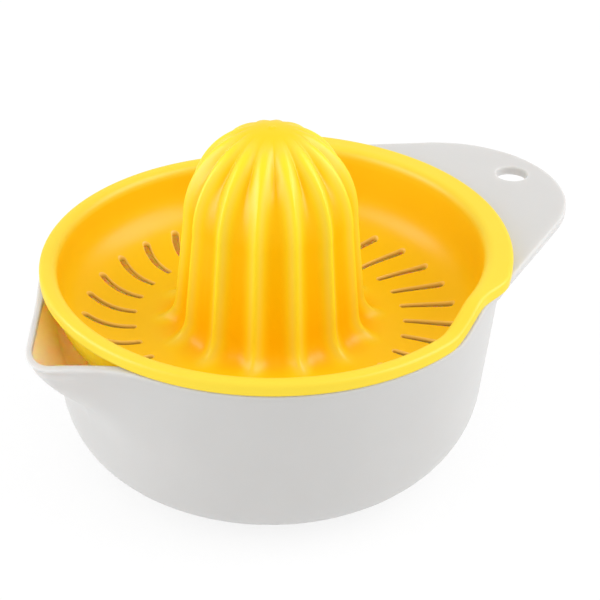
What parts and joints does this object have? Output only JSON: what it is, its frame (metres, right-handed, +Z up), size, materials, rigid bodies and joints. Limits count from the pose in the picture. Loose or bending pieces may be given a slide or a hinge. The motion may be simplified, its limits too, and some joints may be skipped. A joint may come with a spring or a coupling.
{
  "type": "citrus juicer",
  "caption": "Hand citrus juicer: a fluted reamer on a slotted strainer dish that lifts out of a round bowl with a pouring spout and a flat handle with a hanging hole.",
  "frame": {"origin": "on the bowl's axis, on the surface that the bowl stands on", "axes": "+Z up along the bowl's axis, +X along the handle, the spout points along -X"},
  "size_m": [0.1738, 0.1288, 0.0994],
  "materials": {
    "bowl_plastic": "white moulded plastic, satin gloss",
    "insert_plastic": "warm yellow moulded plastic, satin gloss, slightly translucent"
  },
  "bodies": {
    "bowl": {"bowl": "bowl_plastic"},
    "insert": {"reamer_insert": "insert_plastic"}
  },
  "joints": [
    {"name": "insert_lift", "type": "slide", "parent": "bowl", "child": "insert", "axis": [0, 0, 1], "range_m": [0, 0.06]}
  ]
}
